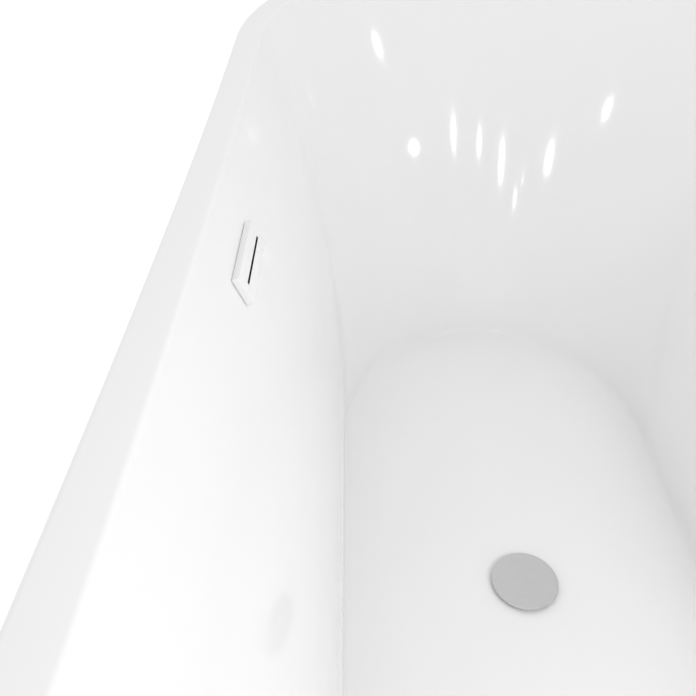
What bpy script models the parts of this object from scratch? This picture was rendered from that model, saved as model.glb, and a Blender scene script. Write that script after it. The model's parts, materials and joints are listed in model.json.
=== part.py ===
"""Freestanding double-skin bathtub with a centre waste and a slotted side overflow.

Metres, +Z up, +Y along the length. The origin is on the ground under the middle of the bath.
The overflow is on the -X side.
"""

import math

import bmesh
import bpy
from mathutils import Vector

# ---------------------------------------------------------------- driving dimensions

HALF_WIDTH = 0.345          # rim, outside
HALF_LENGTH = 0.800
END_DEPTH = 0.368           # half-ellipse at each end of the rim
FLOOR_Z = 0.125             # top of the bath floor above the ground
BASIN_DEPTH = 0.4936        # floor to rim at mid-length
END_RISE = 0.036            # how much higher the rim is at the ends
DECK = 0.030                # flat rim width
SHEET = 0.005               # acrylic thickness
LIP = 0.018                 # turned-down outer edge of the rim
SEAM = 0.0005               # joint line between the lip and the outer skin

FLOOR_HALF_WIDTH = 0.2125
FLOOR_HALF_LENGTH = 0.4935
FLOOR_END_DEPTH = 0.255
SIDE_FLARE = 2.45           # exponent of the side walls' outward curve
END_FLARE = 1.12            # exponent of the sloping ends' curve
FLOOR_ROUND = 0.012
INNER_EDGE_ROUND = 0.0025
OUTER_EDGE_ROUND = 0.0045

SKIRT_BOTTOM = 0.010
SKIRT_TAPER_SIDE = 0.083    # how far the foot of the skirt is in from the rim
SKIRT_TAPER_END = 0.145
SKIRT_END_DEPTH = 0.300
SKIRT_CURVE = 1.3
SKIRT_LAND = 0.03           # share of the skirt's height that stays upright under the lip

END_STEPS = 16              # facets round each end
SIDE_STEPS = 6              # facets along each side
ARC_STEPS = 3               # facets across a rounded edge

GAP = 0.0003                # clearance between pieces that touch

BOARD_INSET = 0.018
BOARD_THICK = 0.012
BOARD_HOLE_R = 0.047

TUBE = 0.025                # square steel tube
TUBE_WALL = 0.002
RAIL_X = 0.130
RAIL_HALF = 0.410
CROSS_Y = 0.345
CROSS_HALF = 0.245

FOOT_X = 0.200
PAD_R = 0.020
PAD_HEIGHT = 0.016
STUD_R = 0.005
STUD_TOP = 0.105
STUD_HOLE_R = 0.0056
NUT_R = 0.0095
NUT_HEIGHT = 0.006

BRACKET_WIDTH = 0.030
BRACKET_THICK = 0.003
BRACKET_INNER_X = 0.222
BRACKET_FOOT_Z = 0.030
BRACKET_CLEAR = 0.0018
SCREW_X = 0.233
SCREW_R = 0.0024
SCREW_HOLE_R = 0.0028
SCREW_HEAD_R = 0.0046

DRAIN_HOLE_R = 0.0256       # hole in the bath floor
THROAT_R = 0.0250
THROAT_BORE_R = 0.0230
FLANGE_R = 0.0355
FLANGE_THICK = 0.0018
GASKET_THICK = 0.0010
THROAT_LENGTH = 0.016
COVER_R = 0.0385
COVER_THICK = 0.0036
COVER_UNDERSIDE = 0.0036    # above the bath floor when shut
BODY_R = 0.031
BODY_FLANGE_R = 0.040
BODY_BOTTOM = 0.036
TAIL_R = 0.0200
TAIL_BORE_R = 0.0178
TAIL_TOP = 0.058
TAIL_END = 0.012
WASHER_THICK = 0.003
WASHER_TOP = -SHEET - 0.0006    # under the bath floor
SOCKET_R = 0.0245           # the body's neck round the tail
STEM_R = 0.0040
STEM_LENGTH = 0.052
CARRIER_R = 0.0175          # disc on the stem that holds the seal
GUIDE_TOP = -0.024          # below the bath floor
GUIDE_RIM = 0.005
GUIDE_LENGTH = 0.024
GUIDE_TUBE_R = 0.0085
GUIDE_PORT_R = 0.0062
GUIDE_PORT_AT = 0.0165

HOSE_R = 0.0100
HOSE_BORE_R = 0.0075
HOSE_Z = 0.066              # height of the hose and its inlet under the floor
HOSE_NUT_R = 0.0130
HOSE_NUT_HALF = 0.009
INLET_END = 0.058

OVERFLOW_AT = 0.8975        # share of the wall height where the overflow is centred
OVERFLOW_SPAN = 0.045
COVER_LENGTH = 0.095
COVER_HEIGHT = 0.026
COVER_BACK = 0.0006
COVER_PROUD = 0.0075
LEG_AT = 0.028              # moulded legs on the overflow cover's back, into the port
LEG_WIDTH = 0.008
LEG_REACH = 0.013
LEG_BOTTOM = 0.0045
LEG_TOP = 0.0065
SLOT_LENGTH = 0.0746
SLOT_HEIGHT = 0.0026
PORT_LENGTH = 0.080
PORT_HEIGHT = 0.016
HOUSING_LENGTH = 0.100
HOUSING_HEIGHT = 0.036
HOUSING_DEPTH = 0.022

SIDES = {"left": -1, "right": 1}
ENDS = {"near": -1, "far": 1}

# ---------------------------------------------------------------- scene and materials


def clear_scene():
    for thing in list(bpy.data.objects):
        bpy.data.objects.remove(thing, do_unlink=True)


def new_collection(name):
    collection = bpy.data.collections.new(name)
    bpy.context.scene.collection.children.link(collection)
    return collection


def material(name, colour, roughness, metallic=0.0):
    made = bpy.data.materials.new(name)
    made.use_nodes = True
    shader = made.node_tree.nodes["Principled BSDF"]
    shader.inputs["Base Color"].default_value = (*colour, 1.0)
    shader.inputs["Roughness"].default_value = roughness
    shader.inputs["Metallic"].default_value = metallic
    return made


clear_scene()
PARTS = new_collection("freestanding_bathtub")
CUTTERS = new_collection("cutters")

ACRYLIC = material("white_acrylic", (0.93, 0.93, 0.93), 0.12)
WHITE_PLASTIC = material("white_plastic", (0.90, 0.90, 0.90), 0.25)
GREY_PLASTIC = material("grey_plastic", (0.45, 0.46, 0.47), 0.45)
SATIN_METAL = material("satin_metal", (0.62, 0.62, 0.62), 0.35, 1.0)
ZINC_STEEL = material("zinc_steel", (0.55, 0.56, 0.58), 0.40, 1.0)
BLACK_STEEL = material("black_steel", (0.05, 0.05, 0.055), 0.45)
RUBBER = material("black_rubber", (0.03, 0.03, 0.03), 0.75)
BOARD = material("base_board", (0.62, 0.47, 0.30), 0.70)

# ---------------------------------------------------------------- general makers


def add_part(name, mesh, look, location=(0, 0, 0), parent=None):
    """A named piece, placed at location, or at location in its parent's axes."""
    piece = bpy.data.objects.new(name, mesh)
    mesh.materials.append(look)
    PARTS.objects.link(piece)
    piece.location = location
    piece.parent = parent
    return piece


def add_cutter(name, mesh, location=(0, 0, 0), parent=None):
    cutter = bpy.data.objects.new(name, mesh)
    CUTTERS.objects.link(cutter)
    cutter.location = location
    cutter.parent = parent
    cutter.hide_render = True
    cutter.display_type = "WIRE"
    return cutter


def boolean(piece, other, operation="DIFFERENCE"):
    change = piece.modifiers.new(other.name, "BOOLEAN")
    change.operation = operation
    change.object = other


def add_bevel(piece, width, segments=2):
    edges = piece.modifiers.new("round_edges", "BEVEL")
    edges.width = width
    edges.segments = segments
    edges.limit_method = "ANGLE"


def box_mesh(name, low, high):
    """A box between two corners."""
    cage = bmesh.new()
    bmesh.ops.create_cube(cage, size=1.0)
    low = Vector(low)
    high = Vector(high)
    size = high - low
    middle = (high + low) / 2
    for vertex in cage.verts:
        vertex.co = Vector(a * b for a, b in zip(vertex.co, size)) + middle
    mesh = bpy.data.meshes.new(name)
    cage.to_mesh(mesh)
    cage.free()
    return mesh


def rod_mesh(name, radius, start, end, sides=24):
    """A round or many-sided rod from one point to another."""
    start = Vector(start)
    end = Vector(end)
    along = end - start
    cage = bmesh.new()
    bmesh.ops.create_cone(
        cage,
        cap_ends=True,
        segments=sides,
        radius1=radius,
        radius2=radius,
        depth=along.length,
    )
    turn = Vector((0, 0, 1)).rotation_difference(along).to_matrix()
    bmesh.ops.rotate(cage, verts=cage.verts, matrix=turn)
    bmesh.ops.translate(cage, verts=cage.verts, vec=(start + end) / 2)
    mesh = bpy.data.meshes.new(name)
    cage.to_mesh(mesh)
    cage.free()
    if sides > 6:
        mesh.shade_smooth()
        mesh.set_sharp_from_angle(angle=math.radians(40))
    return mesh


def turned(name, profile, look, location=(0, 0, 0), parent=None, steps=32, ring=True):
    """A turned piece: (radius, height) points run down the outside, then up the bore if it is a ring."""
    mesh = bpy.data.meshes.new(name)
    points = [(radius, 0.0, height) for radius, height in profile]
    edges = [(i, i + 1) for i in range(len(points) - 1)]
    if ring:
        edges.append((len(points) - 1, 0))
    mesh.from_pydata(points, edges, [])
    piece = add_part(name, mesh, look, location, parent)
    screw = piece.modifiers.new("turn", "SCREW")
    screw.axis = "Z"
    screw.angle = 2 * math.pi
    screw.steps = steps
    screw.render_steps = steps
    screw.use_merge_vertices = True
    screw.merge_threshold = 0.00001
    return piece


def loft(name, rings, centre=None, closed_ends=False):
    """A skin over rings of points with equal counts; centre closes the first ring to a point."""
    cage = bmesh.new()
    rows = [[cage.verts.new(point) for point in ring] for ring in rings]
    count = len(rows[0])
    for inner, outer in zip(rows, rows[1:]):
        for i in range(count):
            j = (i + 1) % count
            cage.faces.new((inner[i], outer[i], outer[j], inner[j]))
    if centre is not None:
        middle = cage.verts.new(centre)
        for i in range(count):
            cage.faces.new((middle, rows[0][i], rows[0][(i + 1) % count]))
    if closed_ends:
        cage.faces.new(list(reversed(rows[0])))
        cage.faces.new(rows[-1])
        bmesh.ops.recalc_face_normals(cage, faces=cage.faces)
    mesh = bpy.data.meshes.new(name)
    cage.to_mesh(mesh)
    cage.free()
    return mesh


def add_solidify(piece, thickness):
    wall = piece.modifiers.new("sheet", "SOLIDIFY")
    wall.thickness = thickness
    wall.offset = -1.0
    wall.use_even_offset = True
    wall.use_quality_normals = True


def swept(name, route, radius, look, roundness=2):
    """A round bar along a list of points."""
    curve = bpy.data.curves.new(name, "CURVE")
    curve.dimensions = "3D"
    curve.bevel_depth = radius
    curve.bevel_resolution = roundness
    curve.use_fill_caps = True
    spline = curve.splines.new("POLY")
    spline.points.add(len(route) - 1)
    for point, place in zip(spline.points, route):
        point.co = (*place, 1.0)
    piece = bpy.data.objects.new(name, curve)
    curve.materials.append(look)
    PARTS.objects.link(piece)
    return piece


def smooth_route(points, per_span):
    """Points along a Catmull-Rom curve through the given ones."""
    padded = [2 * points[0] - points[1]] + points + [2 * points[-1] - points[-2]]
    route = []
    for a, b, c, d in zip(padded, padded[1:], padded[2:], padded[3:]):
        for step in range(per_span):
            t = step / per_span
            route.append(
                0.5 * (2 * b + (c - a) * t + (2 * a - 5 * b + 4 * c - d) * t ** 2
                       + (3 * b - a - 3 * c + d) * t ** 3)
            )
    route.append(points[-1])
    return route


# ---------------------------------------------------------------- the bath's form


def mix(low, high, share):
    return low + (high - low) * share


def stations():
    """Places round the plan, anticlockwise: (across, along the straight side, into the end)."""
    places = []
    for side in (1, -1):
        for step in range(SIDE_STEPS):
            places.append((side, side * mix(-1, 1, step / SIDE_STEPS), 0.0))
        for step in range(END_STEPS):
            angle = math.pi * step / END_STEPS
            places.append((side * math.cos(angle), side, side * math.sin(angle)))
    return places


STATIONS = stations()


def plan_point(station, half_width, half_length, end_depth):
    """A place on an outline with straight sides and half-elliptical ends."""
    across, straight, end = station
    return half_width * across, (half_length - end_depth) * straight + end_depth * end


def plan_normal(station, half_width, end_depth):
    across, _, end = station
    return Vector((across / half_width, end / end_depth, 0.0)).normalized()


def rim_height(y):
    """Height of the rim above the bath floor."""
    return BASIN_DEPTH + END_RISE * (y / HALF_LENGTH) ** 2


def wall_point(station, share):
    """A place on the inner wall; share is 0 at the floor and 1 at the rim."""
    x, y = plan_point(
        station,
        mix(FLOOR_HALF_WIDTH, HALF_WIDTH - DECK, share ** SIDE_FLARE),
        mix(FLOOR_HALF_LENGTH, HALF_LENGTH - DECK, share ** END_FLARE),
        mix(FLOOR_END_DEPTH, END_DEPTH - DECK, share),
    )
    return Vector((x, y, FLOOR_Z + share * rim_height(y)))


def rim_point(station, drop=0.0):
    """A place on the rim's outer edge, or drop below it."""
    x, y = plan_point(station, HALF_WIDTH, HALF_LENGTH, END_DEPTH)
    return Vector((x, y, FLOOR_Z + rim_height(y) - drop))


def rounded(before, corner, after, reach):
    """Points of a rounded corner that starts and ends at reach from the sharp one."""
    start = corner + (before - corner).normalized() * reach
    end = corner + (after - corner).normalized() * reach
    points = []
    for step in range(ARC_STEPS + 1):
        t = step / ARC_STEPS
        points.append(start * (1 - t) ** 2 + corner * (2 * t * (1 - t)) + end * t ** 2)
    return points


WALL_SHARES = [0.10, 0.22, 0.34, 0.46, 0.58, 0.70, 0.79,
               OVERFLOW_AT - OVERFLOW_SPAN, OVERFLOW_AT + OVERFLOW_SPAN]
FLOOR_SHARES = [0.25, 0.50, 0.75]


def basin_section(station):
    """The basin's upper surface at one station, from the middle of the floor to the lip's edge."""
    corner = wall_point(station, 0.0)
    inward = corner - plan_normal(station, FLOOR_HALF_WIDTH, FLOOR_END_DEPTH)
    walls = [wall_point(station, share) for share in WALL_SHARES]
    inner_edge = wall_point(station, 1.0)
    outer_edge = rim_point(station)
    lip_edge = rim_point(station, LIP)
    foot = rounded(inward, corner, walls[0], FLOOR_ROUND)
    centre = Vector((0, 0, FLOOR_Z))
    floor = [centre.lerp(foot[0], share) for share in FLOOR_SHARES]
    return (
        floor
        + foot
        + walls
        + rounded(walls[-1], inner_edge, outer_edge, INNER_EDGE_ROUND)
        + rounded(inner_edge, outer_edge, lip_edge, OUTER_EDGE_ROUND)
        + [lip_edge]
    )


def skirt_point(station, share):
    """A place on the outer skin; share is 0 at the foot and 1 under the lip."""
    taper = max(0.0, 1 - share / (1 - SKIRT_LAND)) ** SKIRT_CURVE
    x, y = plan_point(
        station,
        HALF_WIDTH - SKIRT_TAPER_SIDE * taper,
        HALF_LENGTH - SKIRT_TAPER_END * taper,
        mix(END_DEPTH, SKIRT_END_DEPTH, taper),
    )
    _, rim_y = plan_point(station, HALF_WIDTH, HALF_LENGTH, END_DEPTH)
    top = FLOOR_Z + rim_height(rim_y) - LIP - SEAM
    return Vector((x, y, mix(SKIRT_BOTTOM, top, share)))


SKIRT_SHARES = [1.0, 1 - SKIRT_LAND, 0.89, 0.78, 0.64, 0.50, 0.36, 0.20, 0.0]


def make_basin():
    sections = [basin_section(station) for station in STATIONS]
    rings = [list(ring) for ring in zip(*sections)]
    mesh = loft("basin_shell", rings, centre=Vector((0, 0, FLOOR_Z)))
    basin = add_part("basin_shell", mesh, ACRYLIC)
    add_solidify(basin, SHEET)
    hole = rod_mesh("drain_hole", DRAIN_HOLE_R, (0, 0, FLOOR_Z - 0.03), (0, 0, FLOOR_Z + 0.03), 32)
    boolean(basin, add_cutter("drain_hole", hole))
    port = box_mesh(
        "overflow_port",
        (-0.03, -PORT_LENGTH / 2, -PORT_HEIGHT / 2),
        (0.03, PORT_LENGTH / 2, PORT_HEIGHT / 2),
    )
    boolean(basin, add_cutter("overflow_port", port, parent=OVERFLOW_AXIS))
    return basin


def make_skirt():
    rings = [[skirt_point(station, share) for station in STATIONS] for share in reversed(SKIRT_SHARES)]
    mesh = loft("outer_skirt", rings)
    skirt = add_part("outer_skirt", mesh, ACRYLIC)
    mesh.flip_normals()
    add_solidify(skirt, SHEET)
    return skirt


# ---------------------------------------------------------------- base and frame

BOARD_TOP = FLOOR_Z - SHEET - GAP
BOARD_BOTTOM = BOARD_TOP - BOARD_THICK
RAIL_TOP = BOARD_BOTTOM - GAP
RAIL_BOTTOM = RAIL_TOP - TUBE
CROSS_TOP = RAIL_BOTTOM - GAP
CROSS_BOTTOM = CROSS_TOP - TUBE


def make_board():
    outline = [
        plan_point(
            station,
            FLOOR_HALF_WIDTH - BOARD_INSET,
            FLOOR_HALF_LENGTH - BOARD_INSET,
            FLOOR_END_DEPTH - BOARD_INSET,
        )
        for station in STATIONS
    ]
    rings = [[Vector((x, y, z)) for x, y in outline] for z in (BOARD_BOTTOM, BOARD_TOP)]
    board = add_part("base_board", loft("base_board", rings, closed_ends=True), BOARD)
    hole = rod_mesh("board_hole", BOARD_HOLE_R, (0, 0, BOARD_BOTTOM - 0.01), (0, 0, BOARD_TOP + 0.01), 32)
    boolean(board, add_cutter("board_hole", hole))


def make_tube(name, low, high, along):
    """A square tube between two corners, open at both ends; along is the index of its long axis."""
    tube = add_part(name, box_mesh(name, low, high), BLACK_STEEL)
    inner_low = [value + TUBE_WALL for value in low]
    inner_high = [value - TUBE_WALL for value in high]
    inner_low[along] = low[along] - 0.01
    inner_high[along] = high[along] + 0.01
    boolean(tube, add_cutter(name + "_bore", box_mesh(name + "_bore", inner_low, inner_high)))
    return tube


def make_frame():
    half = TUBE / 2
    for side, sign in SIDES.items():
        x = sign * RAIL_X
        make_tube("rail_" + side, (x - half, -RAIL_HALF, RAIL_BOTTOM), (x + half, RAIL_HALF, RAIL_TOP), 1)
    for end, sign in ENDS.items():
        y = sign * CROSS_Y
        tube = make_tube(
            "cross_" + end,
            (-CROSS_HALF, y - half, CROSS_BOTTOM),
            (CROSS_HALF, y + half, CROSS_TOP),
            0,
        )
        for side, side_sign in SIDES.items():
            label = "_" + end + "_" + side
            x = side_sign * FOOT_X
            hole = rod_mesh(
                "stud_hole" + label,
                STUD_HOLE_R,
                (x, y, CROSS_BOTTOM - 0.01),
                (x, y, CROSS_TOP + 0.01),
                16,
            )
            boolean(tube, add_cutter("stud_hole" + label, hole))
            x = side_sign * SCREW_X
            hole = rod_mesh(
                "screw_hole" + label,
                SCREW_HOLE_R,
                (x, y, CROSS_TOP - 0.010),
                (x, y, CROSS_TOP + 0.010),
                12,
            )
            boolean(tube, add_cutter("screw_hole" + label, hole))


def make_nut(name, bottom, location):
    top = bottom + NUT_HEIGHT
    hexagon = rod_mesh(name, NUT_R, (0, 0, bottom), (0, 0, top), 6)
    nut = add_part(name, hexagon, ZINC_STEEL, location)
    bore = rod_mesh(name + "_bore", STUD_HOLE_R, (0, 0, bottom - 0.01), (0, 0, top + 0.01), 16)
    boolean(nut, add_cutter(name + "_bore", bore, location))


def make_foot(label, x, y):
    """A levelling foot: the pad and stud travel, the two nuts stay on the cross tube."""
    place = (x, y, 0)
    turned(
        label + "_pad",
        [
            (0.0, PAD_HEIGHT),
            (0.009, PAD_HEIGHT),
            (0.011, PAD_HEIGHT - 0.005),
            (PAD_R - 0.001, 0.006),
            (PAD_R, 0.005),
            (PAD_R, 0.0008),
            (PAD_R - 0.0008, 0.0),
            (0.0, 0.0),
        ],
        RUBBER,
        place,
        steps=24,
        ring=False,
    )
    stud = rod_mesh(label + "_stud", STUD_R, (0, 0, PAD_HEIGHT + GAP), (0, 0, STUD_TOP), 16)
    add_part(label + "_stud", stud, ZINC_STEEL, place)
    make_nut(label + "_lock_nut", CROSS_BOTTOM - GAP - NUT_HEIGHT, place)
    make_nut(label + "_top_nut", CROSS_TOP + GAP, place)


def make_bracket(label, side_sign, y):
    """A bent angle from the cross tube's top to the inside of the skirt, with its screw."""
    station = (side_sign, 0.0, 0.0)
    top_share = (CROSS_TOP - SKIRT_BOTTOM) / (FLOOR_Z + BASIN_DEPTH - LIP - SKIRT_BOTTOM)
    foot_share = top_share * (BRACKET_FOOT_Z - SKIRT_BOTTOM) / (CROSS_TOP - SKIRT_BOTTOM)
    clear = SHEET + BRACKET_CLEAR
    top_x = abs(skirt_point(station, top_share).x) - clear
    foot_x = abs(skirt_point(station, foot_share).x) - clear
    low = CROSS_TOP + GAP
    high = low + BRACKET_THICK
    outline = [
        (BRACKET_INNER_X, high),
        (top_x, high),
        (foot_x, BRACKET_FOOT_Z),
        (foot_x - BRACKET_THICK, BRACKET_FOOT_Z),
        (top_x - BRACKET_THICK, low),
        (BRACKET_INNER_X, low),
    ]
    rings = [
        [Vector((side_sign * x, y + shift, z)) for x, z in outline]
        for shift in (-BRACKET_WIDTH / 2, BRACKET_WIDTH / 2)
    ]
    name = "skirt_bracket_" + label
    bracket = add_part(name, loft(name, rings, closed_ends=True), ZINC_STEEL)
    x = side_sign * SCREW_X
    hole = rod_mesh(name + "_hole", SCREW_HOLE_R, (x, y, low - 0.01), (x, y, high + 0.01), 12)
    boolean(bracket, add_cutter(name + "_hole", hole))
    head = high + GAP
    turned(
        "bracket_screw_" + label,
        [
            (0.0, head + 0.003),
            (SCREW_HEAD_R - 0.001, head + 0.003),
            (SCREW_HEAD_R, head + 0.002),
            (SCREW_HEAD_R, head),
            (SCREW_R, head),
            (SCREW_R, CROSS_TOP - 0.010),
            (0.0, CROSS_TOP - 0.010),
        ],
        ZINC_STEEL,
        (x, y, 0),
        steps=16,
        ring=False,
    )


# ---------------------------------------------------------------- waste and stopper


def ring_profile(outer, inner, top, bottom):
    return [(outer, top), (outer, bottom), (inner, bottom), (inner, top)]


def make_waste():
    floor = (0, 0, FLOOR_Z)
    gasket_top = GAP + GASKET_THICK
    turned("drain_gasket", ring_profile(FLANGE_R - 0.001, DRAIN_HOLE_R, gasket_top, GAP), RUBBER, floor)
    seat = gasket_top + GAP
    turned(
        "drain_flange",
        [
            (THROAT_BORE_R + 0.003, seat + FLANGE_THICK),
            (FLANGE_R - 0.0008, seat + FLANGE_THICK),
            (FLANGE_R, seat + FLANGE_THICK - 0.0008),
            (FLANGE_R, seat),
            (THROAT_R, seat),
            (THROAT_R, -THROAT_LENGTH),
            (THROAT_BORE_R, -THROAT_LENGTH),
            (THROAT_BORE_R, seat - 0.001),
        ],
        SATIN_METAL,
        floor,
    )
    turned(
        "drain_washer",
        ring_profile(BODY_FLANGE_R, DRAIN_HOLE_R, WASHER_TOP, WASHER_TOP - WASHER_THICK),
        RUBBER,
        floor,
    )
    top = FLOOR_Z + WASHER_TOP - WASHER_THICK - GAP
    body = turned(
        "drain_body",
        [
            (BODY_FLANGE_R, top),
            (BODY_FLANGE_R, top - 0.004),
            (BODY_R, top - 0.008),
            (BODY_R, BODY_BOTTOM + 0.016),
            (SOCKET_R, BODY_BOTTOM + 0.010),
            (SOCKET_R, BODY_BOTTOM),
            (TAIL_R + GAP, BODY_BOTTOM),
            (TAIL_R + GAP, TAIL_TOP + GAP),
            (TAIL_BORE_R, TAIL_TOP + GAP),
            (TAIL_BORE_R, TAIL_TOP + 0.003),
            (DRAIN_HOLE_R, TAIL_TOP + 0.010),
            (DRAIN_HOLE_R, top),
        ],
        GREY_PLASTIC,
    )
    inlet = rod_mesh("hose_inlet", HOSE_R, (-INLET_END, 0, HOSE_Z), (-BODY_R + 0.003, 0, HOSE_Z), 24)
    boolean(body, add_cutter("hose_inlet", inlet), "UNION")
    outside = (-INLET_END - 0.01, 0, HOSE_Z)
    bore = rod_mesh("hose_inlet_bore", HOSE_BORE_R, outside, (-0.012, 0, HOSE_Z), 24)
    boolean(body, add_cutter("hose_inlet_bore", bore))
    turned("waste_tail", ring_profile(TAIL_R, TAIL_BORE_R, TAIL_TOP, TAIL_END), GREY_PLASTIC)
    nut_bore = SOCKET_R + GAP
    turned(
        "tail_nut",
        [
            (nut_bore + 0.004, BODY_BOTTOM + 0.009),
            (nut_bore + 0.004, BODY_BOTTOM - 0.007),
            (nut_bore + 0.003, BODY_BOTTOM - 0.008),
            (TAIL_R + GAP, BODY_BOTTOM - 0.008),
            (TAIL_R + GAP, BODY_BOTTOM - 0.002),
            (nut_bore, BODY_BOTTOM - 0.002),
            (nut_bore, BODY_BOTTOM + 0.009),
        ],
        GREY_PLASTIC,
    )


def make_stopper():
    """The click-clack stopper: cap, seal and stem lift together along the empty's Z axis."""
    axis = bpy.data.objects.new("stopper_axis", None)
    PARTS.objects.link(axis)
    axis.location = (0, 0, FLOOR_Z)
    top = COVER_UNDERSIDE + COVER_THICK
    turned(
        "stopper_cap",
        [
            (0.0, top),
            (COVER_R - 0.0009, top),
            (COVER_R - 0.0003, top - 0.0003),
            (COVER_R, top - 0.0009),
            (COVER_R, COVER_UNDERSIDE + 0.0005),
            (COVER_R - 0.0005, COVER_UNDERSIDE),
            (0.0, COVER_UNDERSIDE),
        ],
        SATIN_METAL,
        parent=axis,
        steps=48,
        ring=False,
    )
    turned(
        "stopper_stem",
        [
            (0.0, COVER_UNDERSIDE - GAP),
            (0.008, COVER_UNDERSIDE - GAP),
            (0.008, -0.001),
            (CARRIER_R, -0.001),
            (CARRIER_R, -0.005),
            (STEM_R, -0.006),
            (STEM_R, -STEM_LENGTH),
            (0.0, -STEM_LENGTH),
        ],
        WHITE_PLASTIC,
        parent=axis,
        steps=24,
        ring=False,
    )
    turned(
        "stopper_seal",
        ring_profile(THROAT_BORE_R - 0.0005, CARRIER_R + GAP, -0.0015, -0.0045),
        RUBBER,
        parent=axis,
    )
    guide = turned(
        "stopper_guide",
        [
            (THROAT_R, GUIDE_TOP),
            (THROAT_R, GUIDE_TOP - GUIDE_RIM),
            (GUIDE_TUBE_R, GUIDE_TOP - GUIDE_RIM),
            (GUIDE_TUBE_R, GUIDE_TOP - GUIDE_LENGTH),
            (STEM_R + GAP, GUIDE_TOP - GUIDE_LENGTH),
            (STEM_R + GAP, GUIDE_TOP),
        ],
        WHITE_PLASTIC,
        (0, 0, FLOOR_Z),
        steps=24,
    )
    for number in range(3):
        angle = math.radians(90 + 120 * number)
        x = GUIDE_PORT_AT * math.cos(angle)
        y = GUIDE_PORT_AT * math.sin(angle)
        name = "guide_port_" + str(number + 1)
        port = rod_mesh(name, GUIDE_PORT_R, (x, y, GUIDE_TOP - 0.01), (x, y, GUIDE_TOP + 0.01), 16)
        boolean(guide, add_cutter(name, port, (0, 0, FLOOR_Z)))


# ---------------------------------------------------------------- overflow


def make_overflow_axis():
    """An empty on the wall: its X axis points into the bath, its Z axis up the wall."""
    station = (-1, 0.0, 0.0)
    low = wall_point(station, OVERFLOW_AT - OVERFLOW_SPAN)
    high = wall_point(station, OVERFLOW_AT + OVERFLOW_SPAN)
    axis = bpy.data.objects.new("overflow_axis", None)
    PARTS.objects.link(axis)
    axis.location = (low + high) / 2
    lean = math.atan2(low.x - high.x, high.z - low.z)
    axis.rotation_euler = (0, -lean, 0)
    return axis


OVERFLOW_AXIS = make_overflow_axis()
HOUSING_FRONT = -SHEET - 0.0040
SPIGOT_X = HOUSING_FRONT - HOUSING_DEPTH / 2 - 0.0005
SPIGOT_END = -HOUSING_HEIGHT / 2 - 0.020


def overflow_box(name, x_range, length, height, z_middle=0.0):
    return box_mesh(
        name,
        (x_range[0], -length / 2, z_middle - height / 2),
        (x_range[1], length / 2, z_middle + height / 2),
    )


def make_overflow():
    cover = add_part(
        "overflow_cover",
        overflow_box("overflow_cover", (COVER_BACK, COVER_PROUD), COVER_LENGTH, COVER_HEIGHT),
        WHITE_PLASTIC,
        parent=OVERFLOW_AXIS,
    )
    add_bevel(cover, 0.0007)
    for end, sign in ENDS.items():
        name = "cover_leg_" + end
        leg = box_mesh(
            name,
            (-LEG_REACH, sign * LEG_AT - LEG_WIDTH / 2, LEG_BOTTOM),
            (0.002, sign * LEG_AT + LEG_WIDTH / 2, LEG_TOP),
        )
        boolean(cover, add_cutter(name, leg, parent=OVERFLOW_AXIS), "UNION")
    slot = overflow_box("overflow_slot", (-0.02, 0.02), SLOT_LENGTH, SLOT_HEIGHT)
    boolean(cover, add_cutter("overflow_slot", slot, parent=OVERFLOW_AXIS))

    gasket_range = (HOUSING_FRONT + GAP, -SHEET - 0.0010)
    gasket = add_part(
        "overflow_gasket",
        overflow_box("overflow_gasket", gasket_range, HOUSING_LENGTH, HOUSING_HEIGHT),
        RUBBER,
        parent=OVERFLOW_AXIS,
    )
    window = overflow_box("gasket_window", (-0.05, 0.02), PORT_LENGTH + 0.002, PORT_HEIGHT + 0.002)
    boolean(gasket, add_cutter("gasket_window", window, parent=OVERFLOW_AXIS))

    housing = add_part(
        "overflow_body",
        overflow_box(
            "overflow_body",
            (HOUSING_FRONT - HOUSING_DEPTH, HOUSING_FRONT),
            HOUSING_LENGTH,
            HOUSING_HEIGHT,
        ),
        GREY_PLASTIC,
        parent=OVERFLOW_AXIS,
    )
    spigot = rod_mesh("overflow_spigot", HOSE_R, (SPIGOT_X, 0, SPIGOT_END), (SPIGOT_X, 0, -0.016), 24)
    boolean(housing, add_cutter("overflow_spigot", spigot, parent=OVERFLOW_AXIS), "UNION")
    cavity = overflow_box(
        "overflow_cavity",
        (HOUSING_FRONT - HOUSING_DEPTH + 0.0025, 0.01),
        PORT_LENGTH + 0.004,
        HOUSING_HEIGHT - 0.008,
    )
    boolean(housing, add_cutter("overflow_cavity", cavity, parent=OVERFLOW_AXIS))
    below = (SPIGOT_X, 0, SPIGOT_END - 0.01)
    bore = rod_mesh("overflow_bore", HOSE_BORE_R, below, (SPIGOT_X, 0, 0), 24)
    boolean(housing, add_cutter("overflow_bore", bore, parent=OVERFLOW_AXIS))


def hose_nut(name, start, end):
    """A ring over the joint between a hose end and its spigot."""
    nut = add_part(name, rod_mesh(name, HOSE_NUT_R, start, end, 24), GREY_PLASTIC)
    add_bevel(nut, 0.0012, 1)
    along = (Vector(end) - Vector(start)).normalized() * 0.01
    bore = rod_mesh(name + "_bore", HOSE_R + 0.0005, Vector(start) - along, Vector(end) + along, 24)
    boolean(nut, add_cutter(name + "_bore", bore))


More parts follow.
